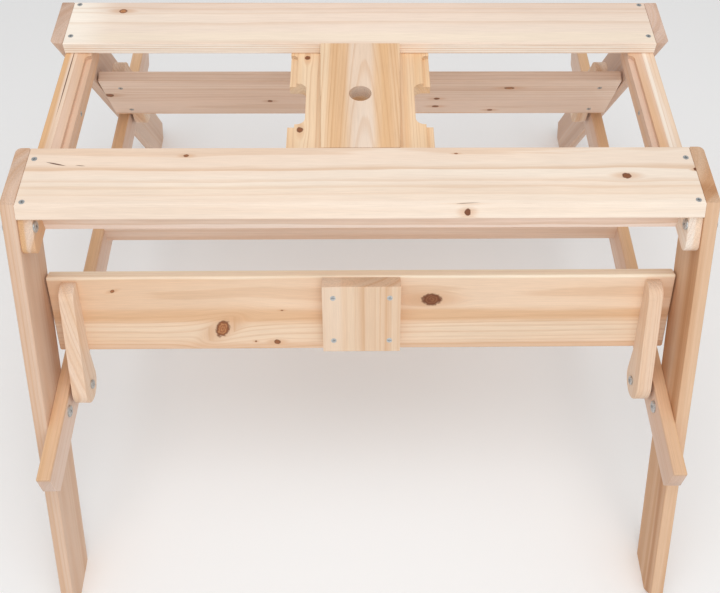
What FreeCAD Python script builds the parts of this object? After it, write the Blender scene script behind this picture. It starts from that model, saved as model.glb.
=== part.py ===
import FreeCAD, Part

import math
import os

from FreeCAD import Vector

# Frame of a child's sand and water table with two fold-up benches, all in planed softwood.
# The table's length runs along X, front is -Y, +Z is up, and the floor is z = 0 under the
# middle of the table. Every size is in millimetres.

# ---- driving dimensions ----
HEIGHT = 550.0              # floor to table top
SPAN = 860.0                # between the inner faces of the legs
STOCK = 18.0                # thickness of the boards
LEG_ANGLE = 31.0            # legs splay this far from upright, in degrees
TOP_DEPTH = 412.0           # front edge to rear edge of the table top
TOP_BOARD_WIDTHS = {-1: 100.0, 1: 97.0}   # front and rear
EASE = 1.5                  # rounding of the planed edges
RAIL_EASE = 1.2
LEG_FOOT_WIDTH = 94.0       # level width of a leg at the floor
LEG_CORNER = 7.0            # rounding of a leg's outer edge on the side of the table's middle

RAIL_HEIGHT = 48.0          # side rails and aprons under the top boards
RAIL_SETBACK = 4.0          # rail ends stand back from the legs' outer edges
APRON_FRONT = 188.0         # outer face of an apron from the middle of the table

CLEAT_THICK = 20.0          # ledges that carry the tubs along the side rails
CLEAT_HEIGHT = 29.0
CLEAT_HALF_LENGTH = 138.0
REBATE_WIDTH = 8.0          # seat for the tub rim
REBATE_DEPTH = 6.0
REBATE_HALF_LENGTH = 104.0
CLEAT_SCREW_UP = 514.0      # one screw from inside, and two from outside this far from the middle
CLEAT_SCREW_OUT = 100.0
CUTTER_RADIUS = 8.0         # corner that the router leaves at the end of a rebate

SUPPORT_HALF_WIDTH = 100.0  # board under the middle of the table
SUPPORT_HALF_LENGTH = 168.0
NOTCH_HALF_LENGTH = 42.0
NOTCH_DEPTH = 24.0
NOTCH_RADIUS = 12.0
CENTRE_SHIFT = -2.0         # the boards and battens in the middle stand a little to the left
STRIP_HALF_REAR = 57.5      # centre top board, a little wider at the rear
STRIP_HALF_FRONT = 52.0
PARASOL_RADIUS = 15.5

BAR_TOP = 281.0             # top of the bars that carry the benches
BAR_HEIGHT = 51.0
BAR_ENDS = {-1: 446.0, 1: 478.0}        # front and rear ends from the middle of the table
BAR_CHAMFERS = {-1: (9.0, 18.0), 1: (18.0, 20.0)}   # run and rise under each end
CROSS_RAIL_HEIGHT = 28.0

TOE_HEIGHT = 27.0           # the sharp toe of each foot is cut off
TOE_FLOOR = 500.0

BENCH_WIDTH = 118.0
BENCH_HALF_LENGTH = 428.0
BENCH_CORNER = 3.0
BENCH_EASE = 2.2
BENCH_TILT = 22.0           # folded bench leans inwards from upright, in degrees
PIVOT_OUT = {-1: 289.0, 1: 293.0}       # front and rear bench pivots from the middle
PIVOT_TO_SEAT = 16.0        # pivot to the underside of the bench board
BENCH_START = 48.0          # pivot to the near edge of the bench board
SEAT_REST = 0.3             # gap between the opened bench and its bars
ARM_INNER = 387.0           # inner face of a bench arm
ARM_THICK = 20.0
ARM_SLACK = 0.3             # play on each side of an arm
ARM_CENTRE = (3.0, 2.0)     # round end of an arm, from its pivot
ARM_RADIUS = 27.5
ARM_EASE = 1.2
ARM_BROW = (138.0, 10.0)    # where an arm's straight edge ends, then the top of its curve
ARM_CROWNS = {-1: (153.5, 3.5), 1: (154.0, 6.5)}
ARM_SCREWS = (141.0, 65.0)  # places along a bench from its pivot
BATTEN_HALF_WIDTH = 53.0
BATTEN_THICK = 26.0
BATTEN_LENGTH = 104.0
BATTEN_SCREWS = (146.5, 78.5)
BATTEN_SCREW_OUT = 38.3

SHANK = 3.0                 # radius of the furniture bolts
RUNNING_FIT = 0.05          # radial play of an arm on its pivot bolt
HOLE_PLAY = 0.04            # radial play round a fixed fastener
BAR_BOLT_HEAD = 8.5          # radii of the flat bolt heads
RAIL_BOLT_HEAD = 7.5
PIVOT_BOLT_HEAD = 6.5
HEAD_THICK = 2.6
INSERT_RADIUS = 5.0
INSERT_LENGTH = 15.0
SPACER_RADIUS = 8.0
PIVOT_LENGTH = 36.0
HEX_KEY = 4.0
SLEEVE_RADIUS = 4.5
SLEEVE_DEPTH = 14.0
LEG_BOLT_LENGTH = 33.0
RAIL_BOLTS = ((212.0, 516.5), (152.0, 505.0))      # leg to side rail, out from the middle and up
BAR_BOLT = (331.0, 262.0)
SCREW_HEAD = 3.8
SCREW_SHANK = 2.0
COUNTERSINK = 2.6
CROSS_LENGTH = 4.4          # recess in a screw's head
CROSS_WIDTH = 0.9
CROSS_DEPTH = 1.6

# ---- values that follow from them ----
SLOPE = math.tan(math.radians(LEG_ANGLE))
INNER = SPAN / 2            # inner faces of the legs, outer faces of rails and bars
RAIL_INNER = INNER - STOCK
LEG_OUTER = INNER + STOCK
TOP_EDGE = TOP_DEPTH / 2
BOARD_EDGES = {end: TOP_EDGE - width for end, width in TOP_BOARD_WIDTHS.items()}
UNDER = HEIGHT - STOCK      # underside of the table top
RAIL_FOOT = UNDER - RAIL_HEIGHT
PIVOT_UP = BAR_TOP - PIVOT_TO_SEAT + SEAT_REST
LEAN = math.radians(BENCH_TILT)
BENCH_END = BENCH_START + BENCH_WIDTH
SIDES = (-1, 1)

solids = {}
bores = {}


def leg_edge(z):
    """Distance from the middle to the outer edge of a leg at height z."""
    return TOP_EDGE + (HEIGHT - z) * SLOPE


def box(x0, x1, y0, y1, z0, z1):
    corner = Vector(min(x0, x1), min(y0, y1), min(z0, z1))
    return Part.makeBox(abs(x1 - x0), abs(y1 - y0), abs(z1 - z0), corner)


def prism(points, along):
    """Solid from a closed outline of points, pushed along a vector."""
    face = Part.Face(Part.makePolygon(points + points[:1]))
    return face.extrude(along)


def side_prism(outline, x0, x1):
    """Board whose outline is given as (y, z) points, between two x values."""
    return prism([Vector(x0, y, z) for y, z in outline], Vector(x1 - x0, 0, 0))


def plan_prism(outline, z0, z1):
    return prism([Vector(x, y, z0) for x, y in outline], Vector(0, 0, z1 - z0))


def edges_at(shape, points, direction):
    """Edges along a direction that pass nearest to the given points."""
    axis = Vector(direction)
    along = [e for e in shape.Edges
             if e.Length > 1 and abs(e.tangentAt(e.FirstParameter).dot(axis)) > 0.999]
    return [min(along, key=lambda e: e.distToShape(Part.Vertex(p))[0]) for p in points]


def rounded(shape, points, direction, radius):
    return shape.makeFillet(radius, edges_at(shape, points, direction))


def eased(shape, radius=EASE, shortest=24.0):
    """Rounds the long straight edges of a board."""
    edges = [e for e in shape.Edges if e.Curve.TypeId == "Part::GeomLine" and e.Length > shortest]
    return shape.makeFillet(radius, edges)


def lathe(profile, play=0.0):
    """Turned solid about +Z from (radius, height) points, with optional radial play."""
    points = [Vector(0, 0, profile[0][1])]
    points += [Vector(r + play, 0, z) for r, z in profile]
    points.append(Vector(0, 0, profile[-1][1]))
    face = Part.Face(Part.makePolygon(points + points[:1]))
    return face.revolve(Vector(0, 0, 0), Vector(0, 0, 1), 360)


def aimed(shape, place, direction):
    """Turns a solid made along +Z to a direction and moves it to its place."""
    turned = shape.copy()
    turned.Placement = FreeCAD.Placement(place, FreeCAD.Rotation(Vector(0, 0, 1), direction))
    return turned


def hexagon(across, depth):
    radius = across / 2 / math.cos(math.pi / 6)
    corners = [Vector(radius * math.cos(i * math.pi / 3), radius * math.sin(i * math.pi / 3), 0)
               for i in range(6)]
    return prism(corners, Vector(0, 0, depth))


def screw(length):
    """Countersunk screw with a cross recess; its head is at z = 0 and it points up."""
    profile = [(SCREW_HEAD, 0), (SCREW_SHANK, COUNTERSINK), (SCREW_SHANK, length - 4), (0.8, length)]
    body = lathe(profile)
    for turn in (0, 90):
        slot = Part.makeBox(CROSS_LENGTH, CROSS_WIDTH, CROSS_DEPTH,
                            Vector(-CROSS_LENGTH / 2, -CROSS_WIDTH / 2, 0))
        slot.rotate(Vector(0, 0, 0), Vector(0, 0, 1), turn)
        body = body.cut(slot)
    return body, profile


def bolt_head(radius):
    """Outline of a flat head with a bevelled rim, from its top to the face under it at z = 0."""
    return [(radius - 1.2, -HEAD_THICK), (radius, -HEAD_THICK + 1.0), (radius, 0)]


def key_socket(depth):
    socket = hexagon(HEX_KEY, depth)
    socket.translate(Vector(0, 0, -HEAD_THICK))
    return socket


def flat_bolt(length, head):
    """Flat-headed bolt with a hexagon socket; the face under its head is at z = 0."""
    shank = [(SHANK, 0), (SHANK, length)]
    return lathe(bolt_head(head) + shank).cut(key_socket(2.2)), shank


def sleeve(depth, head):
    """Flat-headed sleeve nut that takes the end of a bolt; the face under its head is at z = 0."""
    barrel = [(SLEEVE_RADIUS, 0), (SLEEVE_RADIUS, depth)]
    thread = Part.makeCylinder(SHANK + HOLE_PLAY, depth - 2, Vector(0, 0, 2))
    return lathe(bolt_head(head) + barrel).cut(key_socket(2.0)).cut(thread), barrel


def fasten(node, piece, place, direction, through):
    """Adds one fastener to its node and its bore to each board that it passes through."""
    body, profile = piece
    solids.setdefault(node, []).append(aimed(body, place, direction))
    bore = aimed(lathe(profile, HOLE_PLAY), place, direction)
    for board in through:
        bores.setdefault(board, []).append(bore)


def front_rear(side):
    return "front" if side < 0 else "rear"


def left_right(side):
    return "left" if side < 0 else "right"


# ---- table top ----
def top_board(side):
    """Top board between the legs; its outer edge is planed to the slope of the legs."""
    edge = BOARD_EDGES[side]
    outline = [(edge, HEIGHT), (TOP_EDGE, HEIGHT), (leg_edge(UNDER), UNDER), (edge, UNDER)]
    board = side_prism([(side * y, z) for y, z in outline], -INNER, INNER)
    return eased(board)


def centre_top_board():
    front, rear = -BOARD_EDGES[-1], BOARD_EDGES[1]
    outline = [(-STRIP_HALF_FRONT, front), (STRIP_HALF_FRONT, front),
               (STRIP_HALF_REAR, rear), (-STRIP_HALF_REAR, rear)]
    outline = [(CENTRE_SHIFT + x, y) for x, y in outline]
    board = plan_prism(outline, UNDER, HEIGHT)
    board = eased(board, 1.0, 150.0)
    return board.cut(Part.makeCylinder(PARASOL_RADIUS, STOCK, Vector(CENTRE_SHIFT, 0, UNDER)))


def rebate(inner, outer, start, end):
    """Waste that a router takes from a board's edge, with rounded corners at its ends."""
    waste = box(inner, outer, start, end, UNDER - REBATE_DEPTH, UNDER + 1)
    ends = [Vector(inner, y, UNDER) for y in (start, end) if abs(y) > NOTCH_HALF_LENGTH + 10]
    return rounded(waste, ends, (0, 0, 1), CUTTER_RADIUS - 0.5)


def support_board():
    """Board under the middle of the table, notched at each side and rebated for the tub rims."""
    width, length = SUPPORT_HALF_WIDTH, SUPPORT_HALF_LENGTH
    board = box(-width, width, -length, length, UNDER - STOCK, UNDER)
    for side in SIDES:
        notch = box(side * (width - NOTCH_DEPTH), side * (width + 5),
                    -NOTCH_HALF_LENGTH, NOTCH_HALF_LENGTH, UNDER - STOCK - 1, UNDER + 1)
        inside = [Vector(side * (width - NOTCH_DEPTH), y, UNDER)
                  for y in (-NOTCH_HALF_LENGTH, NOTCH_HALF_LENGTH)]
        board = board.cut(rounded(notch, inside, (0, 0, 1), NOTCH_RADIUS))
        for end in SIDES:
            board = board.cut(rebate(side * (width - REBATE_WIDTH - 2), side * (width + 5),
                                     end * (NOTCH_HALF_LENGTH - 5), end * REBATE_HALF_LENGTH))
    board = board.cut(Part.makeCylinder(PARASOL_RADIUS, STOCK, Vector(0, 0, UNDER - STOCK)))
    return board.translated(Vector(CENTRE_SHIFT, 0, 0))


# ---- rails ----
def side_rail(side):
    """Rail on edge whose ends follow the slope of the legs."""
    top = leg_edge(UNDER) - RAIL_SETBACK
    foot = leg_edge(RAIL_FOOT) - RAIL_SETBACK
    outline = [(-top, UNDER), (top, UNDER), (foot, RAIL_FOOT), (-foot, RAIL_FOOT)]
    rail = side_prism(outline, side * RAIL_INNER, side * INNER)
    corners = [Vector(side * INNER, y, RAIL_FOOT) for y in (-foot, foot)]
    rail = rounded(rail, corners, (1, 0, 0), 10.0)
    return eased(rail, 1.2, 100.0)


def apron(side):
    board = box(-RAIL_INNER, RAIL_INNER, side * APRON_FRONT, side * (APRON_FRONT - STOCK),
                RAIL_FOOT, UNDER)
    return eased(board, 1.2, 100.0)


def cleat(side):
    """Ledge along a side rail, rebated along its inner edge for the rim of a tub."""
    inner = RAIL_INNER - CLEAT_THICK
    block = box(side * inner, side * RAIL_INNER, -CLEAT_HALF_LENGTH, CLEAT_HALF_LENGTH,
                UNDER - CLEAT_HEIGHT, UNDER)
    return block.cut(rebate(side * (inner + REBATE_WIDTH), side * (inner - 5),
                            -REBATE_HALF_LENGTH, REBATE_HALF_LENGTH))


# ---- legs and bench bars ----
def leg(end, side):
    """Splayed leg outside the rails, cut level at top and floor, with its sharp toe taken off."""
    heel = leg_edge(0) - LEG_FOOT_WIDTH
    edge = BOARD_EDGES[end]
    outline = [(edge, HEIGHT), (TOP_EDGE, HEIGHT), (leg_edge(TOE_HEIGHT), TOE_HEIGHT),
               (TOE_FLOOR, 0), (heel, 0)]
    board = side_prism([(end * y, z) for y, z in outline], side * INNER, side * LEG_OUTER)
    slope = Vector(0, end * (heel - edge), -HEIGHT).normalize()
    inner_edge, outer_edge = end * (edge + heel) / 2, end * leg_edge(HEIGHT / 2)
    board = rounded(board, [Vector(side * LEG_OUTER, inner_edge, HEIGHT / 2)], slope, LEG_CORNER)
    others = [Vector(side * INNER, inner_edge, HEIGHT / 2), Vector(side * INNER, outer_edge, HEIGHT / 2),
              Vector(side * LEG_OUTER, outer_edge, HEIGHT / 2)]
    return rounded(board, others, slope, EASE)


def bench_bar(side):
    """Level bar against the legs' inner faces; it carries both benches."""
    foot = BAR_TOP - BAR_HEIGHT
    outline = []
    for end in SIDES:
        run, rise = BAR_CHAMFERS[end]
        tip = BAR_ENDS[end]
        corners = [(end * tip, BAR_TOP), (end * tip, foot + rise), (end * (tip - run), foot)]
        outline += corners if end < 0 else corners[::-1]
    bar = side_prism(outline, side * RAIL_INNER, side * INNER)
    return eased(bar, EASE, 15.0)


def cross_rail():
    rail = box(-RAIL_INNER, RAIL_INNER, -STOCK / 2, STOCK / 2, BAR_TOP - CROSS_RAIL_HEIGHT, BAR_TOP)
    return eased(rail, 1.2, 100.0)


# ---- benches ----
def bench_point(end, along, off):
    """Place of a point of the folded bench, from its pivot along the board and off its underside."""
    y = PIVOT_OUT[end] - along * math.sin(LEAN) + off * math.cos(LEAN)
    z = PIVOT_UP + along * math.cos(LEAN) + off * math.sin(LEAN)
    return end * y, z


def bench_place(end, point):
    """The opposite of bench_point: how far along and off a folded bench a point lies."""
    out, up = end * point.y - PIVOT_OUT[end], point.z - PIVOT_UP
    along = -out * math.sin(LEAN) + up * math.cos(LEAN)
    return along, out * math.cos(LEAN) + up * math.sin(LEAN)


def bench_prism(end, outline, x0, x1):
    return side_prism([bench_point(end, along, off) for along, off in outline], x0, x1)


def bench_vector(end, x, along, off):
    y, z = bench_point(end, along, off)
    return Vector(x, y, z)


def bench_board(end):
    under, seat = -PIVOT_TO_SEAT, -PIVOT_TO_SEAT - STOCK
    outline = [(BENCH_START, under), (BENCH_END, under), (BENCH_END, seat), (BENCH_START, seat)]
    board = bench_prism(end, outline, -BENCH_HALF_LENGTH, BENCH_HALF_LENGTH)
    y0, z0 = bench_point(end, 0, 0)
    y1, z1 = bench_point(end, 0, 1)
    corners = [bench_vector(end, side * BENCH_HALF_LENGTH, along, under)
               for side in SIDES for along in (BENCH_START, BENCH_END)]
    board = rounded(board, corners, (0, y1 - y0, z1 - z0), BENCH_CORNER)
    edges = [e for e in board.Edges if e.Length > 60.0]
    return board.makeFillet(BENCH_EASE, edges)


def bench_arm(end, side):
    """Arm under a bench, round at its pivot end and narrowing towards the bench's outer edge."""
    x0, x1 = side * ARM_INNER, side * (ARM_INNER + ARM_THICK)

    def at(along, off):
        return bench_vector(end, x0, along, off)

    def on_circle(degrees):
        turn = math.radians(degrees)
        return ARM_CENTRE[0] + ARM_RADIUS * math.cos(turn), ARM_CENTRE[1] + ARM_RADIUS * math.sin(turn)

    shoulder = on_circle(80)
    heel = on_circle(-85)
    under = -PIVOT_TO_SEAT
    tip = (BENCH_END - 7.5, under)
    edges = [Part.Arc(at(*heel), at(*on_circle(180)), at(*shoulder)).toShape(),
             Part.makeLine(at(*shoulder), at(*ARM_BROW)),
             Part.Arc(at(*ARM_BROW), at(*ARM_CROWNS[end]), at(*tip)).toShape(),
             Part.makeLine(at(*tip), at(BENCH_START, under)),
             Part.makeLine(at(BENCH_START, under), at(*heel))]
    arm = Part.Face(Part.Wire(edges)).extrude(Vector(x1 - x0, 0, 0))
    free = [e for e in arm.Edges if e.Length > ARM_RADIUS and not against_bench(end, e)]
    return arm.makeFillet(ARM_EASE, free)


def against_bench(end, edge):
    """True for an edge of an arm that lies on the underside of the bench board."""
    middle = edge.valueAt((edge.FirstParameter + edge.LastParameter) / 2)
    along, off = bench_place(end, middle)
    return abs(off + PIVOT_TO_SEAT) < 0.5 and along > BENCH_START


def batten(end):
    start, stop = BENCH_END - 2.0 - BATTEN_LENGTH, BENCH_END - 2.0
    under, face = -PIVOT_TO_SEAT, BATTEN_THICK - PIVOT_TO_SEAT
    outline = [(start, under), (stop, under), (stop, face), (start, face)]
    block = bench_prism(end, outline, CENTRE_SHIFT - BATTEN_HALF_WIDTH, CENTRE_SHIFT + BATTEN_HALF_WIDTH)
    lip = [bench_vector(end, 0, along, face) for along in (start, stop)]
    return rounded(block, lip, (1, 0, 0), EASE)


# ---- boards ----
for end in SIDES:
    solids[front_rear(end) + "_top_board"] = [top_board(end)]
    solids[front_rear(end) + "_apron"] = [apron(end)]
    solids[front_rear(end) + "_bench_board"] = [bench_board(end)]
    solids[front_rear(end) + "_bench_batten"] = [batten(end)]
    for side in SIDES:
        corner = front_rear(end) + "_" + left_right(side)
        solids[corner + "_leg"] = [leg(end, side)]
        solids[corner + "_bench_arm"] = [bench_arm(end, side)]
for side in SIDES:
    solids[left_right(side) + "_side_rail"] = [side_rail(side)]
    solids[left_right(side) + "_tub_cleat"] = [cleat(side)]
    solids[left_right(side) + "_bench_bar"] = [bench_bar(side)]
solids["centre_top_board"] = [centre_top_board()]
solids["centre_support_board"] = [support_board()]
solids["lower_cross_rail"] = [cross_rail()]

# ---- fasteners ----
def leg_joint(name, head, end, side, out, up, inner_board):
    """Bolt from a rail's inner face into a sleeve nut sunk in the leg's outer face."""
    legname = front_rear(end) + "_" + left_right(side) + "_leg"
    fasten(name + "_bolts", flat_bolt(LEG_BOLT_LENGTH, head), Vector(side * RAIL_INNER, end * out, up),
           Vector(side, 0, 0), [inner_board, legname])
    fasten(name + "_sleeve_nuts", sleeve(SLEEVE_DEPTH, head), Vector(side * LEG_OUTER, end * out, up),
           Vector(-side, 0, 0), [legname])


for end in SIDES:
    bench = front_rear(end)
    for side in SIDES:
        corner = bench + "_" + left_right(side)
        rail = left_right(side) + "_side_rail"
        bar = left_right(side) + "_bench_bar"
        for out, up in RAIL_BOLTS:
            leg_joint("leg_rail", RAIL_BOLT_HEAD, end, side, out, up, rail)
        leg_joint("leg_bar", BAR_BOLT_HEAD, end, side, BAR_BOLT[0], BAR_BOLT[1], bar)
        for out in (TOP_EDGE - 5, TOP_EDGE - 80):
            fasten("top_board_screws", screw(45), Vector(side * (INNER - STOCK / 2), end * out, HEIGHT),
                   Vector(0, 0, -1), [bench + "_top_board", rail])
        for up in (RAIL_FOOT + 12, UNDER - 12):
            fasten("apron_screws", screw(50), Vector(side * INNER, end * (APRON_FRONT - STOCK / 2), up),
                   Vector(-side, 0, 0), [bench + "_apron", rail])
        for along in ARM_SCREWS:
            seat = bench_vector(end, side * (ARM_INNER + ARM_THICK / 2), along, -PIVOT_TO_SEAT - STOCK)
            inside = bench_vector(end, side * (ARM_INNER + ARM_THICK / 2), along, 0)
            fasten(bench + "_bench_arm_screws", screw(36), seat, inside - seat,
                   [bench + "_bench_board", corner + "_bench_arm"])
        for along in BATTEN_SCREWS:
            out = CENTRE_SHIFT + side * BATTEN_SCREW_OUT
            face = bench_vector(end, out, along, BATTEN_THICK - PIVOT_TO_SEAT)
            inside = bench_vector(end, out, along, -PIVOT_TO_SEAT)
            fasten(bench + "_batten_screws", screw(38), face, inside - face,
                   [bench + "_bench_batten", bench + "_bench_board"])
        fasten("centre_board_screws", screw(30), Vector(CENTRE_SHIFT + side * 60, end * 142, UNDER - STOCK),
               Vector(0, 0, 1), ["centre_support_board", bench + "_top_board"])
        fasten("centre_board_screws", screw(30), Vector(CENTRE_SHIFT + side * 36, end * 84, UNDER - STOCK),
               Vector(0, 0, 1), ["centre_support_board", "centre_top_board"])

for side in SIDES:
    ledge, rail = left_right(side) + "_tub_cleat", left_right(side) + "_side_rail"
    fasten("cleat_screws", screw(34), Vector(side * (RAIL_INNER - CLEAT_THICK), 0, CLEAT_SCREW_UP),
           Vector(side, 0, 0), [ledge, rail])
    for out in (-CLEAT_SCREW_OUT, CLEAT_SCREW_OUT):
        fasten("cleat_screws", screw(34), Vector(side * INNER, out, CLEAT_SCREW_UP),
               Vector(-side, 0, 0), [ledge, rail])
    for up in (BAR_TOP - 7, BAR_TOP - 21):
        fasten("cross_rail_screws", screw(50), Vector(side * INNER, 0, up), Vector(-side, 0, 0),
               [left_right(side) + "_bench_bar", "lower_cross_rail"])

# Pivots: each arm turns on a bolt that screws into an insert in the bar, past a spacer.
for end in SIDES:
    for side in SIDES:
        bar = left_right(side) + "_bench_bar"
        arm = front_rear(end) + "_" + left_right(side) + "_bench_arm"
        outwards = Vector(side, 0, 0)

        def at_pivot(x):
            return Vector(side * x, end * PIVOT_OUT[end], PIVOT_UP)

        bolt = flat_bolt(PIVOT_LENGTH, PIVOT_BOLT_HEAD)[0]
        hole = Part.makeCylinder(SHANK + RUNNING_FIT, ARM_THICK + 2)
        thread = Part.makeCylinder(SHANK + HOLE_PLAY, INSERT_LENGTH)
        insert = Part.makeCylinder(INSERT_RADIUS, INSERT_LENGTH).cut(thread)
        socket = Part.makeCylinder(INSERT_RADIUS + HOLE_PLAY, INSERT_LENGTH)
        gap = RAIL_INNER - ARM_INNER - ARM_THICK - ARM_SLACK
        ring = Part.makeCylinder(SPACER_RADIUS, gap).cut(Part.makeCylinder(SHANK + HOLE_PLAY, gap))
        solids.setdefault("pivot_bolts", []).append(aimed(bolt, at_pivot(ARM_INNER - ARM_SLACK), outwards))
        solids.setdefault("pivot_inserts", []).append(aimed(insert, at_pivot(RAIL_INNER), outwards))
        solids.setdefault("pivot_spacers", []).append(aimed(ring, at_pivot(RAIL_INNER), -outwards))
        bores.setdefault(arm, []).append(aimed(hole, at_pivot(ARM_INNER - 1), outwards))
        bores.setdefault(bar, []).append(aimed(socket, at_pivot(RAIL_INNER), outwards))

# ---- one file for each kind of piece ----
os.makedirs("parts", exist_ok=True)
for name, pieces in solids.items():
    if name in bores:
        pieces = [piece.cut(bores[name]) for piece in pieces]
    found = [solid for piece in pieces for solid in piece.Solids]
    shape = found[0] if len(found) == 1 else Part.makeCompound(found)
    valid = shape.isValid() and len(found) == len(pieces)
    bounds = shape.BoundBox
    print("%-26s %2d solids  valid %s  x %.1f..%.1f  y %.1f..%.1f  z %.1f..%.1f" % (
        name, len(found), valid, bounds.XMin, bounds.XMax, bounds.YMin, bounds.YMax,
        bounds.ZMin, bounds.ZMax))
    shape.exportStep(os.path.join("parts", name + ".step"))
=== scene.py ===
import math

import bpy
from mathutils import Matrix, Vector


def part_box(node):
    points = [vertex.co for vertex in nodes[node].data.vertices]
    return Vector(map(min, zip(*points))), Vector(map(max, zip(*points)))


# Looks of a child's sand and water table in planed softwood: one grain for every board, laid
# along it from its own place in the log, with knots. Fasteners are zinc-plated, and the inserts of
# the benches' pivots are brass.

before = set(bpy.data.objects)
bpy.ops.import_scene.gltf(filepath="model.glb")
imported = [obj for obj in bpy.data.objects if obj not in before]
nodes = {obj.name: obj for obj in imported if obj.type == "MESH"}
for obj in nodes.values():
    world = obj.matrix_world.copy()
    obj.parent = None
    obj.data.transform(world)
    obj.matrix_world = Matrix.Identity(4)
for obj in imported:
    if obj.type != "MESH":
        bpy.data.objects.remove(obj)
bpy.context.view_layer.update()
scene = bpy.context.scene

# ---- the table's own sizes, in metres and degrees ----
LEG_ANGLE = 31.0            # legs splay this far from upright
BENCH_TILT = 22.0           # a folded bench leans inwards from upright
SIDES = (("left", -1), ("right", 1))
ENDS = (("front", -1), ("rear", 1))

# ---- camera ----
CAMERA_PLACE = Vector((-0.00324, -0.98207, 1.38556))
CAMERA_TURN = 1.815         # to the right of straight ahead, in degrees
CAMERA_DOWN = 53.154
CAMERA_ROLL = 1.145
CAMERA_LENS = 45.72         # the lens and the sensor's width are in millimetres
CAMERA_SENSOR = 36.0
CAMERA_SHIFT = (-0.0248, 0.0058)
CAMERA_NEAR = 0.01


def aim_camera():
    """Camera in front of and above the table, looking down at it."""
    turn, down = math.radians(CAMERA_TURN), math.radians(CAMERA_DOWN)
    ahead = Vector((math.sin(turn) * math.cos(down), math.cos(turn) * math.cos(down),
                    -math.sin(down)))
    right = Vector((math.cos(turn), -math.sin(turn), 0))
    turned = Matrix((right, right.cross(ahead), -ahead)).transposed().to_4x4()
    roll = Matrix.Rotation(math.radians(CAMERA_ROLL), 4, "Z")
    data = bpy.data.cameras.new("camera")
    data.lens = CAMERA_LENS
    data.sensor_width = CAMERA_SENSOR
    data.shift_x, data.shift_y = CAMERA_SHIFT
    data.clip_start = CAMERA_NEAR
    camera = bpy.data.objects.new("camera", data)
    camera.matrix_world = Matrix.Translation(CAMERA_PLACE) @ turned @ roll
    scene.collection.objects.link(camera)
    scene.camera = camera


# ---- shader nodes ----
def fill(tree, made, inputs):
    """Gives a node's inputs their values, and links those that are other nodes' outputs."""
    for key, value in inputs.items():
        if isinstance(value, bpy.types.NodeSocket):
            tree.links.new(value, made.inputs[key])
        else:
            made.inputs[key].default_value = value


def add(tree, kind, inputs=None, **settings):
    """Adds a shader node. Inputs are socket names or numbers with a value or another socket."""
    made = tree.nodes.new("ShaderNode" + kind)
    for name, value in settings.items():
        setattr(made, name, value)
    fill(tree, made, inputs or {})
    return made


def maths(tree, operation, *values):
    """Output of a Math node on values or sockets."""
    return add(tree, "Math", dict(enumerate(values)), operation=operation).outputs[0]


def ramp(tree, value, low, high, start=0.0, end=1.0):
    """Value eased from start to end as it goes from low to high."""
    sockets = {"Value": value, "From Min": low, "From Max": high, "To Min": start, "To Max": end}
    return add(tree, "MapRange", sockets, interpolation_type="SMOOTHSTEP").outputs["Result"]


def point(tree, x, y, z):
    """Vector from three values or sockets."""
    return add(tree, "CombineXYZ", {"X": x, "Y": y, "Z": z}).outputs[0]


def scaled(tree, parts, along, across):
    """Place from its three parts, scaled along the grain and alike in both directions across it."""
    return point(tree, maths(tree, "MULTIPLY", parts[0], along), maths(tree, "MULTIPLY", parts[1], across),
                 maths(tree, "MULTIPLY", parts[2], across))


def noise(tree, place, seed, detail=2.0, roughness=0.5):
    """Output of a Noise node of size one at a place that is already scaled."""
    sockets = {"Vector": place, "W": seed, "Scale": 1.0, "Detail": detail, "Roughness": roughness}
    return add(tree, "TexNoise", sockets, noise_dimensions="4D").outputs["Fac"]


MIX_SHARE, MIX_FIRST, MIX_SECOND, MIX_RESULT = 0, 6, 7, 2       # colour sockets of a Mix node


def blend_colour(tree, share, first, second, mode="MIX"):
    """Colour that goes from first to second as share goes from 0 to 1."""
    made = add(tree, "Mix", data_type="RGBA", blend_type=mode)
    fill(tree, made, {MIX_SHARE: share, MIX_FIRST: first, MIX_SECOND: second})
    return made.outputs[MIX_RESULT]


def group(name, inputs, outputs):
    """New node group with its input sockets and the inputs of its output node."""
    tree = bpy.data.node_groups.new(name, "ShaderNodeTree")
    for label, (kind, value) in inputs.items():
        socket = tree.interface.new_socket(name=label, in_out="INPUT", socket_type="NodeSocket" + kind)
        if value is not None:
            socket.default_value = value
    for label, kind in outputs.items():
        tree.interface.new_socket(name=label, in_out="OUTPUT", socket_type="NodeSocket" + kind)
    given = tree.nodes.new("NodeGroupInput").outputs
    result = tree.nodes.new("NodeGroupOutput").inputs
    return tree, given, result


SCREEN_WHITE = 255


def srgb(red, green, blue):
    """Linear colour from screen values of 0 to 255, by the standard curve."""
    def linear(value):
        value /= SCREEN_WHITE
        return value / 12.92 if value <= 0.04045 else ((value + 0.055) / 1.055) ** 2.4
    return linear(red), linear(green), linear(blue), 1.0


# ---- softwood ----
PALE = srgb(246, 231, 215)
PINK = srgb(238, 212, 190)
ROSE = srgb(226, 196, 176)
TAN = srgb(226, 182, 142)
HONEY = srgb(228, 182, 132)
LINE = srgb(212, 168, 128)              # latewood

KNOT_LIGHT = srgb(206, 146, 98)
KNOT_RING = srgb(168, 104, 66)
KNOT_DARK = srgb(100, 52, 34)
KNOT_RIM = srgb(112, 66, 42)
KNOT_HALO = srgb(212, 162, 120)         # wood round a knot
SLIT = srgb(96, 56, 36)                 # resin streaks and cracks
END_TINT = (0.90, 0.89, 0.90, 1.0)      # end grain is this much darker and greyer

KNOT_SEED = 3.0


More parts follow.
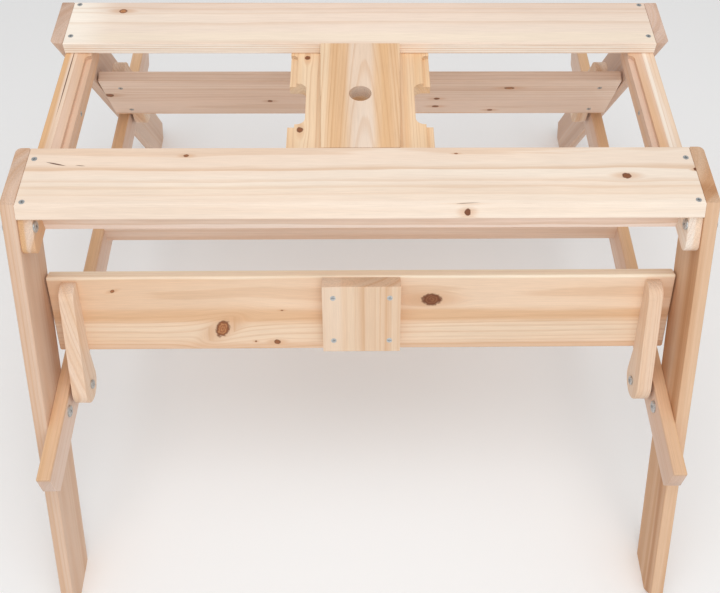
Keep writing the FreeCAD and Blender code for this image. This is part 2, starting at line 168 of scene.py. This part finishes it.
def knot_group():
    """A knot that goes through a board. Shift is how far the grain moves aside for it."""
    ragged_scale, ragged_size = 260.0, 0.7
    flow_length, flow_width = 2.4, 1.25     # reach of the moved grain, in radii along and across
    ring_rate = 19.0
    tree, given, result = group("knot", {
        "Place": ("Vector", None), "Along": ("Float", 0.0), "Across": ("Float", 0.0),
        "Radius": ("Float", 0.005), "Stretch": ("Float", 1.4), "Slant": ("Float", 0.0)},
        {"Shift": "Float", "Knot": "Float", "Halo": "Float", "Rim": "Float", "Rings": "Float"})
    place = add(tree, "SeparateXYZ", {"Vector": given["Place"]})
    radius = given["Radius"]
    along = maths(tree, "SUBTRACT", place.outputs["X"], given["Along"])
    across = maths(tree, "SUBTRACT", place.outputs["Y"], given["Across"])
    across = maths(tree, "SUBTRACT", across, maths(tree, "MULTIPLY", along, given["Slant"]))
    small = add(tree, "VectorMath", {0: given["Place"], "Scale": ragged_scale}, operation="SCALE")
    ragged = maths(tree, "SUBTRACT", noise(tree, small.outputs[0], KNOT_SEED), 0.5)
    shape = maths(tree, "DIVIDE", along, given["Stretch"])
    away = maths(tree, "SQRT", maths(tree, "ADD", maths(tree, "POWER", shape, 2.0),
                                     maths(tree, "POWER", across, 2.0)))
    away = maths(tree, "DIVIDE", away, radius)
    away = maths(tree, "MULTIPLY_ADD", ragged, ragged_size, away)
    long_shape = maths(tree, "DIVIDE", shape, flow_length)
    flow = maths(tree, "ADD", maths(tree, "POWER", long_shape, 2.0), maths(tree, "POWER", across, 2.0))
    squared = maths(tree, "POWER", maths(tree, "MULTIPLY", radius, flow_width), 2.0)
    share = maths(tree, "DIVIDE", squared, maths(tree, "MAXIMUM", flow, squared))
    shift = maths(tree, "MULTIPLY", maths(tree, "MULTIPLY", across, share), -1.0)
    tree.links.new(shift, result["Shift"])
    knot = ramp(tree, away, 0.8, 1.05, 1.0, 0.0)
    tree.links.new(knot, result["Knot"])
    reach = maths(tree, "DIVIDE", maths(tree, "SQRT", flow), radius)
    tree.links.new(ramp(tree, reach, 0.5, 2.1, 1.0, 0.0), result["Halo"])
    rim = maths(tree, "MULTIPLY", ramp(tree, away, 0.62, 0.9), ramp(tree, away, 0.95, 1.2, 1.0, 0.0))
    tree.links.new(rim, result["Rim"])
    rings = maths(tree, "SINE", maths(tree, "MULTIPLY", away, ring_rate))
    tree.links.new(maths(tree, "MULTIPLY_ADD", rings, 0.5, 0.5), result["Rings"])
    return tree


def grain_group():
    """Growth rings round a pith that runs along X, below the board, wandering a little."""
    slow_scale, ragged_scale = (2.2, 7.0), (9.0, 140.0)         # along and across the grain
    fibre_scale, cloud_scale = (26.0, 900.0), (4.0, 14.0)
    uneven_scale, uneven_rings, ragged_rings = 130.0, 2.2, 0.35
    streak_across, streak_along = 62.0, 0.9
    second_seed, year_step = 17.0, 5.3
    tree, given, result = group("grain", {
        "Place": ("Vector", None), "Shift": ("Float", 0.0), "Pith Across": ("Float", 0.0),
        "Pith Depth": ("Float", 0.05), "Taper": ("Float", 0.0), "Ring Width": ("Float", 0.004),
        "Wander": ("Float", 0.006), "Seed": ("Float", 0.0)},
        {"Latewood": "Float", "Streak": "Float", "Fibre": "Float", "Cloud": "Float"})
    place = add(tree, "SeparateXYZ", {"Vector": given["Place"]})
    along, across, depth = (place.outputs[axis] for axis in "XYZ")
    seed = given["Seed"]
    slow = scaled(tree, (along, across, depth), *slow_scale)
    sway = maths(tree, "MULTIPLY", maths(tree, "SUBTRACT", noise(tree, slow, seed), 0.5), given["Wander"])
    other = maths(tree, "ADD", seed, second_seed)
    lift = maths(tree, "MULTIPLY", maths(tree, "SUBTRACT", noise(tree, slow, other), 0.5), given["Wander"])
    across = maths(tree, "ADD", maths(tree, "ADD", across, given["Shift"]), sway)
    across = maths(tree, "SUBTRACT", across, given["Pith Across"])
    depth = maths(tree, "ADD", maths(tree, "ADD", depth, given["Pith Depth"]), lift)
    depth = maths(tree, "ADD", depth, maths(tree, "MULTIPLY", along, given["Taper"]))
    radius = maths(tree, "SQRT", maths(tree, "ADD", maths(tree, "POWER", across, 2.0),
                                       maths(tree, "POWER", depth, 2.0)))
    uneven = noise(tree, point(tree, maths(tree, "MULTIPLY", radius, uneven_scale), 0.0, 0.0), seed, 1.0)
    moved = (along, across, depth)
    ragged = noise(tree, scaled(tree, moved, *ragged_scale), seed)
    rings = maths(tree, "DIVIDE", radius, given["Ring Width"])
    rings = maths(tree, "MULTIPLY_ADD", uneven, uneven_rings, rings)
    rings = maths(tree, "MULTIPLY_ADD", ragged, ragged_rings, rings)
    phase = maths(tree, "FRACT", rings)
    late = maths(tree, "MULTIPLY", ramp(tree, phase, 0.5, 0.88), ramp(tree, phase, 0.9, 1.0, 1.0, 0.0))
    year = maths(tree, "MULTIPLY", maths(tree, "FLOOR", rings), year_step)
    vigour = ramp(tree, noise(tree, point(tree, year, 0.0, 0.0), seed, 0.0), 0.3, 0.7, 0.2, 1.0)
    tree.links.new(maths(tree, "MULTIPLY", late, vigour), result["Latewood"])
    band = point(tree, maths(tree, "MULTIPLY", radius, streak_across),
                 maths(tree, "MULTIPLY", along, streak_along), 0.0)
    tree.links.new(ramp(tree, noise(tree, band, other, 2.0), 0.4, 0.66), result["Streak"])
    fine = noise(tree, scaled(tree, moved, *fibre_scale), seed, detail=3.0, roughness=0.6)
    tree.links.new(fine, result["Fibre"])
    tree.links.new(noise(tree, scaled(tree, moved, *cloud_scale), other), result["Cloud"])
    return tree


def band_group():
    """Broad band of other colour along a board, its edges wandering with the grain."""
    sway_along, sway_across, sway_size = 5.0, 60.0, 0.012
    tree, given, result = group("band", {
        "Place": ("Vector", None), "Middle": ("Float", 0.0), "Half Width": ("Float", 0.01),
        "Softness": ("Float", 0.006), "Seed": ("Float", 0.0)}, {"Mask": "Float"})
    place = add(tree, "SeparateXYZ", {"Vector": given["Place"]})
    slow = point(tree, maths(tree, "MULTIPLY", place.outputs["X"], sway_along),
                 maths(tree, "MULTIPLY", place.outputs["Y"], sway_across), 0.0)
    sway = maths(tree, "SUBTRACT", noise(tree, slow, given["Seed"], 1.0), 0.5)
    across = maths(tree, "MULTIPLY_ADD", sway, sway_size, place.outputs["Y"])
    away = maths(tree, "ABSOLUTE", maths(tree, "SUBTRACT", across, given["Middle"]))
    low = maths(tree, "SUBTRACT", given["Half Width"], given["Softness"])
    high = maths(tree, "ADD", given["Half Width"], given["Softness"])
    tree.links.new(ramp(tree, away, low, high, 1.0, 0.0), result["Mask"])
    return tree


def slit_group():
    """Short dark resin streak or crack along the grain, narrower at its ends."""
    end_width = 0.15
    tree, given, result = group("slit", {
        "Place": ("Vector", None), "Along": ("Float", 0.0), "Across": ("Float", 0.0),
        "Half Length": ("Float", 0.012), "Half Width": ("Float", 0.001), "Slant": ("Float", 0.0)},
        {"Mask": "Float"})
    place = add(tree, "SeparateXYZ", {"Vector": given["Place"]})
    along = maths(tree, "SUBTRACT", place.outputs["X"], given["Along"])
    across = maths(tree, "SUBTRACT", place.outputs["Y"], given["Across"])
    across = maths(tree, "SUBTRACT", across, maths(tree, "MULTIPLY", along, given["Slant"]))
    long_share = maths(tree, "ABSOLUTE", maths(tree, "DIVIDE", along, given["Half Length"]))
    width = maths(tree, "MULTIPLY", given["Half Width"], ramp(tree, long_share, 0.2, 1.0, 1.0, end_width))
    wide_share = maths(tree, "ABSOLUTE", maths(tree, "DIVIDE", across, width))
    mask = maths(tree, "MULTIPLY", ramp(tree, wide_share, 0.6, 1.4, 1.0, 0.0),
                 ramp(tree, long_share, 0.8, 1.05, 1.0, 0.0))
    tree.links.new(mask, result["Mask"])
    return tree


def tone_group():
    """Colour, roughness and relief of planed softwood from its grain and its knots."""
    halo_share, rim_share, slit_share, end_share = 0.5, 0.75, 0.9, 0.8
    plain_rough, fibre_rough, late_rough, end_rough, knot_rough = 0.5, 0.16, -0.08, 0.18, -0.1
    late_height, fibre_height, rim_height, slit_height = 0.5, 0.6, -1.2, -2.0
    end_line_loss, end_speckle = -0.15, 2.0
    tree, given, result = group("wood tone", {
        "Latewood": ("Float", 0.0), "Streak": ("Float", 0.0), "Fibre": ("Float", 0.5),
        "Cloud": ("Float", 0.5), "Knot": ("Float", 0.0), "Halo": ("Float", 0.0), "Rim": ("Float", 0.0),
        "Rings": ("Float", 0.0), "End": ("Float", 0.0), "Dark": ("Float", 0.5), "Slit": ("Float", 0.0),
        "Pale": ("Color", (0.8, 0.7, 0.6, 1.0)), "Warm": ("Color", (0.8, 0.6, 0.4, 1.0)),
        "Line": ("Color", (0.6, 0.4, 0.25, 1.0)), "Line Strength": ("Float", 0.5)},
        {"Colour": "Color", "Roughness": "Float", "Height": "Float"})
    colour = blend_colour(tree, given["Streak"], given["Pale"], given["Warm"])
    strength = maths(tree, "MULTIPLY_ADD", given["End"], end_line_loss, given["Line Strength"])
    line = maths(tree, "MULTIPLY", given["Latewood"], strength)
    colour = blend_colour(tree, line, colour, given["Line"])
    halo = maths(tree, "MULTIPLY", given["Halo"], halo_share)
    colour = blend_colour(tree, halo, colour, KNOT_HALO)
    light_knot = blend_colour(tree, given["Rings"], KNOT_LIGHT, KNOT_RING)
    knot = blend_colour(tree, given["Dark"], light_knot, KNOT_DARK)
    colour = blend_colour(tree, given["Knot"], colour, knot)
    colour = blend_colour(tree, maths(tree, "MULTIPLY", given["Rim"], rim_share), colour, KNOT_RIM)
    colour = blend_colour(tree, maths(tree, "MULTIPLY", given["Slit"], slit_share), colour, SLIT)
    end_grain = blend_colour(tree, 1.0, colour, END_TINT, "MULTIPLY")
    colour = blend_colour(tree, maths(tree, "MULTIPLY", given["End"], end_share), colour, end_grain)
    shade = ramp(tree, given["Fibre"], 0.2, 0.8, 0.93, 1.05)
    shade = maths(tree, "MULTIPLY", shade, ramp(tree, given["Cloud"], 0.2, 0.8, 0.95, 1.04))
    shade = maths(tree, "POWER", shade, maths(tree, "MULTIPLY_ADD", given["End"], end_speckle, 1.0))
    grey = point(tree, shade, shade, shade)
    colour = blend_colour(tree, 1.0, colour, grey, "MULTIPLY")
    tree.links.new(colour, result["Colour"])
    rough = maths(tree, "MULTIPLY_ADD", given["Fibre"], fibre_rough, plain_rough)
    rough = maths(tree, "MULTIPLY_ADD", given["Latewood"], late_rough, rough)
    rough = maths(tree, "MULTIPLY_ADD", given["End"], end_rough, rough)
    rough = maths(tree, "MULTIPLY_ADD", given["Knot"], knot_rough, rough)
    tree.links.new(rough, result["Roughness"])
    height = maths(tree, "MULTIPLY", given["Fibre"], fibre_height)
    height = maths(tree, "MULTIPLY_ADD", given["Latewood"], late_height, height)
    height = maths(tree, "MULTIPLY_ADD", given["Rim"], rim_height, height)
    height = maths(tree, "MULTIPLY_ADD", given["Slit"], slit_height, height)
    tree.links.new(height, result["Height"])
    return tree


KNOT = knot_group()
GRAIN = grain_group()
BAND = band_group()
CRACK = slit_group()
TONE = tone_group()


def use(tree, made, inputs):
    """Places a node group in a material with its own values."""
    placed = tree.nodes.new("ShaderNodeGroup")
    placed.node_tree = made
    fill(tree, placed, inputs)
    return placed.outputs


BAND_SEED_STEP = 5.0
BAND_WARM_SHARE = 0.6       # a band colours the streaks this much as strongly as the plain wood
RELIEF = 0.0004             # height of the grain, in metres
RELIEF_STRENGTH = 0.35
WOOD_IOR, WOOD_SPECULAR = 1.45, 0.3


def wood(name, centre, grain, face, seed, pale=PALE, warm=PINK, line=LINE, strength=0.5, pith=(0.0, 0.05),
         taper=0.0, ring=0.0045, wander=0.006, knots=(), bands=(), edge_bands=(), slits=(), edge_slits=()):
    """Softwood for one board: grain and face are the directions of its length and its broad side.

    Pale is the plain wood, warm its streaks, and line its latewood, which shows with its strength.
    Pith is (across, depth below the centre), and it runs deeper along the board by its taper.
    Places are from the board's centre, and those on its edges are along and through it.
    A knot is (along, across, radius, stretch, darkness, slant).
    A band is (middle, half width, softness, colour, strength).
    A slit is (along, across, half length, half width, slant)."""
    material = bpy.data.materials.new(name)
    material.use_nodes = True
    tree = material.node_tree
    shader = tree.nodes["Principled BSDF"]
    along = Vector(grain).normalized()
    out = Vector(face).normalized()
    turn = Matrix((along, out.cross(along), out)).transposed().to_euler()
    where = add(tree, "TexCoord").outputs
    place = add(tree, "Mapping", {"Vector": where["Object"], "Location": centre, "Rotation": turn},
                vector_type="TEXTURE").outputs[0]
    facing = add(tree, "Mapping", {"Vector": where["Normal"], "Rotation": turn},
                 vector_type="TEXTURE").outputs[0]
    lengthwise = add(tree, "SeparateXYZ", {"Vector": facing}).outputs["X"]
    end = ramp(tree, maths(tree, "ABSOLUTE", lengthwise), 0.55, 0.9)
    parts = add(tree, "SeparateXYZ", {"Vector": place}).outputs
    edge_place = point(tree, parts["X"], parts["Z"], parts["Y"])
    sums = {"Shift": 0.0, "Knot": 0.0, "Halo": 0.0, "Rim": 0.0, "Rings": 0.0, "Dark": 0.0}
    for at, over, radius, stretch, dark, slant in knots:
        made = use(tree, KNOT, {"Place": place, "Along": at, "Across": over, "Radius": radius,
                                "Stretch": stretch, "Slant": slant})
        sums["Shift"] = maths(tree, "ADD", sums["Shift"], made["Shift"])
        rings = maths(tree, "MULTIPLY", made["Rings"], made["Knot"])
        darkness = maths(tree, "MULTIPLY", made["Halo"], dark)
        for key, value in (("Knot", made["Knot"]), ("Halo", made["Halo"]), ("Rim", made["Rim"]),
                           ("Rings", rings), ("Dark", darkness)):
            sums[key] = maths(tree, "MAXIMUM", sums[key], value)
    placed_bands = [(place, band) for band in bands] + [(edge_place, band) for band in edge_bands]
    for number, (source, (at, half, softness, tint, share)) in enumerate(placed_bands):
        mask = use(tree, BAND, {"Place": source, "Middle": at, "Half Width": half, "Softness": softness,
                                "Seed": seed + BAND_SEED_STEP * number})["Mask"]
        pale = blend_colour(tree, maths(tree, "MULTIPLY", mask, share), pale, tint)
        warm = blend_colour(tree, maths(tree, "MULTIPLY", mask, BAND_WARM_SHARE * share), warm, tint)
    cracks = 0.0
    placed_slits = [(place, slit) for slit in slits] + [(edge_place, slit) for slit in edge_slits]
    for source, (at, over, half_length, half_width, slant) in placed_slits:
        made = use(tree, CRACK, {"Place": source, "Along": at, "Across": over, "Half Length": half_length,
                                 "Half Width": half_width, "Slant": slant})
        cracks = maths(tree, "MAXIMUM", cracks, made["Mask"])
    log = use(tree, GRAIN, {"Place": place, "Shift": sums.pop("Shift"), "Pith Across": pith[0],
                            "Pith Depth": pith[1], "Taper": taper, "Ring Width": ring,
                            "Wander": wander, "Seed": float(seed)})
    grown = {key: log[key] for key in ("Latewood", "Streak", "Fibre", "Cloud")}
    tone = use(tree, TONE, {**grown, **sums, "End": end, "Slit": cracks, "Pale": pale, "Warm": warm,
                            "Line": line, "Line Strength": strength})
    bump = add(tree, "Bump", {"Height": tone["Height"], "Strength": RELIEF_STRENGTH, "Distance": RELIEF})
    tree.links.new(tone["Colour"], shader.inputs["Base Color"])
    tree.links.new(tone["Roughness"], shader.inputs["Roughness"])
    tree.links.new(bump.outputs[0], shader.inputs["Normal"])
    shader.inputs["IOR"].default_value = WOOD_IOR
    shader.inputs["Specular IOR Level"].default_value = WOOD_SPECULAR
    return material


def dress(node, material):
    """Gives a CAD piece its material."""
    data = nodes[node].data
    data.materials.clear()
    data.materials.append(material)


def middle(node):
    """Centre of a piece's box."""
    low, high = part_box(node)
    return (low + high) / 2


ALONG_X, ALONG_Y, UP = Vector((1, 0, 0)), Vector((0, 1, 0)), Vector((0, 0, 1))

# Each kind of board's own place in the log: a seed, and its steps from the front to the rear of the
# table and from its left to its right.
LOG_PLACES = {"apron": (20, 3, 0), "bench": (30, 4, 0), "batten": (40, 5, 0), "leg": (50, 7, 3),
              "arm": (70, 7, 3), "rail": (80, 0, 1), "cleat": (84, 0, 1), "bar": (88, 0, 1)}
FIRST_TOP_SEED, TOP_SEED_STEP = 1, 3.7
ARM_GRAIN_SLOPE = 0.12


def log_place(kind, end=0, side=0):
    """Seed of a board by its kind, its end of the table and its side."""
    first, end_step, side_step = LOG_PLACES[kind]
    return first + end_step * end + side_step * side


def leg_way(end):
    """Direction down a leg at one end of the table."""
    slope = math.radians(LEG_ANGLE)
    return Vector((0, end * math.sin(slope), -math.cos(slope)))


def bench_way(end):
    """Direction from a folded bench's pivot up along its board."""
    lean = math.radians(BENCH_TILT)
    return Vector((0, -end * math.sin(lean), math.cos(lean)))


def dress_top():
    """Top boards, the boards and rails under them, the ledges and the aprons."""
    boards = {
        "front_top_board": dict(
            grain=ALONG_X, face=UP, pith=(0.05, 0.14), ring=0.0050, wander=0.004, strength=0.55,
            pale=srgb(245, 229, 212), warm=srgb(241, 219, 199),
            bands=((0.036, 0.012, 0.010, PINK, 0.4), (-0.022, 0.010, 0.008, srgb(238, 216, 192), 0.5)),
            knots=((-0.227, 0.040, 0.0024, 1.4, 0.45, 0.0), (0.338, 0.002, 0.0046, 1.25, 0.7, 0.0),
                   (0.122, 0.043, 0.0011, 2.0, 0.3, 0.0), (0.131, -0.051, 0.0024, 1.5, 0.8, 0.0),
                   (0.4285, 0.0135, 0.0026, 0.8, 0.8, 0.0)),
            slits=((-0.3915, 0.0255, 0.014, 0.0011, -0.26), (-0.360, 0.0225, 0.007, 0.0005, -0.1),
                   (0.131, -0.0445, 0.016, 0.0004, 0.05))),
        "rear_top_board": dict(
            grain=ALONG_X, face=UP, pith=(-0.03, 0.12), ring=0.0050, wander=0.004, strength=0.55,
            pale=srgb(246, 229, 212), warm=srgb(241, 219, 201),
            bands=((0.036, 0.016, 0.008, ROSE, 0.55), (-0.040, 0.010, 0.006, srgb(248, 232, 208), 0.6)),
            knots=((-0.354, 0.0225, 0.0048, 1.2, 0.0, 0.0),),
            edge_bands=((0.0, 0.0065, 0.001, srgb(255, 244, 230), 1.0),)),
        "centre_top_board": dict(
            grain=ALONG_Y, face=UP, pith=(-0.006, 0.036), ring=0.0030, wander=0.003, strength=0.5,
            pale=srgb(240, 210, 176), warm=srgb(228, 186, 144), line=srgb(208, 160, 116), taper=0.03,
            bands=((-0.002, 0.017, 0.007, srgb(238, 220, 204), 0.95), (-0.034, 0.007, 0.004, HONEY, 0.7),
                   (0.036, 0.006, 0.004, HONEY, 0.5))),
        "centre_support_board": dict(
            grain=ALONG_Y, face=UP, pith=(0.03, 0.07), ring=0.0036, wander=0.003, strength=0.5,
            pale=srgb(244, 217, 184), warm=srgb(234, 194, 150),
            knots=((0.099, 0.076, 0.0038, 1.1, 0.7, 0.0), (-0.053, 0.082, 0.0042, 1.2, 0.6, 0.0))),
        "lower_cross_rail": dict(grain=ALONG_X, face=UP, pith=(0.01, 0.06), ring=0.005,
                                 pale=srgb(250, 226, 208), warm=srgb(240, 208, 184)),
    }
    for number, (name, settings) in enumerate(boards.items()):
        dress(name, wood(name, middle(name), seed=number * TOP_SEED_STEP + FIRST_TOP_SEED, **settings))
    rails = {
        "left": dict(pale=PINK, warm=TAN, edge_bands=((0.007, 0.006, 0.002, HONEY, 0.9),),
                     edge_slits=((0.06, -0.0035, 0.09, 0.0007, 0.0),)),
        "right": dict(pale=PALE, warm=PINK, edge_bands=((0.007, 0.006, 0.002, HONEY, 0.4),))}
    for label, side in SIDES:
        rail = label + "_side_rail"
        dress(rail, wood(rail, middle(rail), ALONG_Y, ALONG_X * side, log_place("rail", side=side),
                         pith=(0.03, 0.06), ring=0.005, **rails[label]))
        cleat = label + "_tub_cleat"
        dress(cleat, wood(cleat, middle(cleat), ALONG_Y, UP, log_place("cleat", side=side),
                          pith=(0.02, 0.06), pale=ROSE, warm=TAN))
    for label, end in ENDS:
        apron = label + "_apron"
        dress(apron, wood(apron, middle(apron), ALONG_X, ALONG_Y, log_place("apron", end),
                          pith=(0.0, 0.06), ring=0.005, pale=srgb(254, 236, 222),
                          warm=srgb(246, 218, 200), bands=((0.006, 0.004, 0.003, ROSE, 0.6),)))


def dress_benches():
    """Bench boards, their battens and their arms."""
    knots = {
        "front": ((-0.196, -0.0245, 0.0120, 0.8, 0.25, 0.45), (0.095, 0.0215, 0.0088, 1.5, 0.7, 0.0),
                  (-0.121, -0.047, 0.0036, 1.2, 0.5, 0.0), (-0.341, 0.037, 0.0022, 1.3, 0.3, 0.3),
                  (-0.151, -0.046, 0.0014, 1.0, 0.5, 0.0), (-0.112, 0.005, 0.0010, 2.0, 0.3, 0.0)),
        "rear": ((-0.155, 0.011, 0.0032, 1.2, 0.5, 0.0), (0.128, 0.031, 0.0034, 1.6, 0.5, 0.0),
                 (0.128, 0.003, 0.0034, 1.4, 0.6, 0.0), (0.224, 0.045, 0.003, 1.5, 0.4, 0.0),
                 (-0.421, -0.010, 0.005, 1.3, 0.5, 0.0), (0.246, -0.034, 0.0036, 2.2, 0.1, 0.0))}
    settings = {
        "front": dict(pale=srgb(241, 213, 186), warm=srgb(229, 191, 156), bands=(
            (-0.004, 0.010, 0.006, srgb(222, 178, 136), 0.8),
            (-0.030, 0.014, 0.007, srgb(238, 214, 188), 0.85),
            (-0.055, 0.005, 0.004, srgb(222, 182, 150), 0.7),
            # The last band is a painted highlight: it paints the bench's top edge near white, lighter than
            # the wood, where the table top shades it.
            (0.0595, 0.004, 0.002, srgb(255, 240, 217), 1.0))),
        "rear": dict(pale=srgb(244, 220, 202), warm=srgb(232, 202, 180),
                     bands=((0.0585, 0.0035, 0.002, srgb(232, 182, 136), 0.9),))}
    for label, end in ENDS:
        up = bench_way(end)
        out = up.cross(ALONG_X) * end
        bench = label + "_bench_board"
        dress(bench, wood(bench, middle(bench), ALONG_X, out, log_place("bench", end), pith=(0.03, 0.08),
                          ring=0.0042, wander=0.007, strength=0.55, knots=knots[label], **settings[label]))
        batten = label + "_bench_batten"
        dress(batten, wood(batten, middle(batten), up, out, log_place("batten", end), pith=(0.05, 0.09),
                           ring=0.0042, wander=0.003, pale=srgb(232, 204, 176), warm=srgb(222, 184, 150),
                           bands=((-0.041 * end, 0.013, 0.004, srgb(234, 212, 190), 0.85),)))
        for side_label, side in SIDES:
            arm = f"{label}_{side_label}_bench_arm"
            dress(arm, wood(arm, middle(arm), up + ARM_GRAIN_SLOPE * side * ALONG_Y, ALONG_X * side,
                            log_place("arm", end, side), pale=srgb(242, 218, 196),
                            warm=srgb(233, 199, 167), pith=(0.04, 0.06), ring=0.0045))


def dress_legs():
    """Legs and the bars between them. A leg's two tones are its plain wood and its streaks."""
    tones = {"front_left": (srgb(223, 193, 170), srgb(210, 170, 139)),
             "front_right": (srgb(224, 188, 156), srgb(206, 158, 118)),
             "rear_left": (srgb(224, 196, 176), srgb(206, 170, 146)),
             "rear_right": (srgb(222, 194, 176), srgb(208, 172, 148))}
    marks = {"front_right": dict(bands=((-0.030, 0.008, 0.006, srgb(188, 132, 88), 0.8),))}
    for label, end in ENDS:
        for side_label, side in SIDES:
            corner = f"{label}_{side_label}"
            pale, warm = tones[corner]
            leg = corner + "_leg"
            dress(leg, wood(leg, middle(leg), leg_way(end), ALONG_X * side, log_place("leg", end, side),
                            pale=pale, warm=warm, pith=(0.03, 0.06), ring=0.0048, wander=0.004,
                            **marks.get(corner, {})))
    for label, side in SIDES:
        bar = label + "_bench_bar"
        dress(bar, wood(bar, middle(bar), ALONG_Y, ALONG_X * side, log_place("bar", side=side),
                        pith=(0.02, 0.05), ring=0.0045, pale=srgb(232, 208, 192), warm=srgb(226, 194, 172),
                        bands=((0.025 * side, 0.004, 0.003, srgb(224, 180, 134), 0.9),)))


# ---- metal ----
PATCH_SCALE, PATCH_ROUGH = 420.0, 0.25
GRIT_SCALE, GRIT_STRENGTH, GRIT_HEIGHT = 3200.0, 0.2, 0.0001
DULL_SHARE = 0.72           # how bright a dull patch is beside clean metal


def metal(name, base, rough, seed):
    """Metal with dull patches and a fine grit."""
    material = bpy.data.materials.new(name)
    material.use_nodes = True
    tree = material.node_tree
    shader = tree.nodes["Principled BSDF"]
    place = add(tree, "TexCoord").outputs["Object"]
    patches = add(tree, "TexNoise", {"Vector": place, "Scale": PATCH_SCALE, "Detail": 4.0, "W": seed},
                  noise_dimensions="4D").outputs["Fac"]
    grit = add(tree, "TexNoise", {"Vector": place, "Scale": GRIT_SCALE, "Detail": 2.0, "W": seed},
               noise_dimensions="4D").outputs["Fac"]
    dull = tuple(DULL_SHARE * value for value in base[:3]) + (1.0,)
    colour = blend_colour(tree, ramp(tree, patches, 0.35, 0.7), base, dull)
    tree.links.new(colour, shader.inputs["Base Color"])
    tree.links.new(maths(tree, "MULTIPLY_ADD", patches, PATCH_ROUGH, rough), shader.inputs["Roughness"])
    bump = add(tree, "Bump", {"Height": grit, "Strength": GRIT_STRENGTH, "Distance": GRIT_HEIGHT})
    tree.links.new(bump.outputs[0], shader.inputs["Normal"])
    shader.inputs["Metallic"].default_value = 1.0
    return material


def dress_fasteners():
    """Zinc-plated steel for bolts, nuts, screws and spacers, and brass for the pivots' inserts."""
    zinc = metal("zinc steel", srgb(206, 208, 208), 0.32, 1.0)
    brass = metal("brass", srgb(206, 176, 108), 0.3, 2.0)
    for name in nodes:
        if name.endswith(("bolts", "nuts", "screws", "spacers")):
            dress(name, zinc)
    dress("pivot_inserts", brass)


# ---- studio ----
FLOOR_SIZE = 14.0
FLOOR_COLOUR = (0.95, 0.95, 0.95, 1.0)
FLOOR_ROUGH = 0.9
SKY_COLOUR = (1.0, 1.0, 1.0, 1.0)
SKY_STRENGTH = 0.58
LIGHT_TARGET = (0.0, 0.0, 0.3)
# place, size across in metres and power in watts
LIGHTS = {"overhead": ((0.0, -0.5, 2.6), 2.4, 24.0), "front": ((0.4, -2.8, 1.5), 1.8, 16.0)}


def studio():
    """Pale floor, even sky and two soft lights."""
    bpy.ops.mesh.primitive_plane_add(size=FLOOR_SIZE, location=(0, 0, 0))
    floor = bpy.context.object
    floor.name = "floor"
    paper = bpy.data.materials.new("pale floor")
    paper.use_nodes = True
    shader = paper.node_tree.nodes["Principled BSDF"]
    shader.inputs["Base Color"].default_value = FLOOR_COLOUR
    shader.inputs["Roughness"].default_value = FLOOR_ROUGH
    floor.data.materials.append(paper)
    world = bpy.data.worlds.new("studio")
    world.use_nodes = True
    sky = world.node_tree.nodes["Background"]
    sky.inputs["Color"].default_value = SKY_COLOUR
    sky.inputs["Strength"].default_value = SKY_STRENGTH
    scene.world = world
    for name, (place, size, power) in LIGHTS.items():
        soft_light(name, place, LIGHT_TARGET, size, power)


def soft_light(name, place, target, size, power):
    """Round area light that faces a target."""
    data = bpy.data.lights.new(name, "AREA")
    data.shape = "DISK"
    data.size = size
    data.energy = power
    light = bpy.data.objects.new(name, data)
    way = Vector(target) - Vector(place)
    light.matrix_world = Matrix.Translation(place) @ way.to_track_quat("-Z", "Y").to_matrix().to_4x4()
    scene.collection.objects.link(light)


scene.view_settings.view_transform = "Standard"
aim_camera()
studio()
dress_top()
dress_benches()
dress_legs()
dress_fasteners()
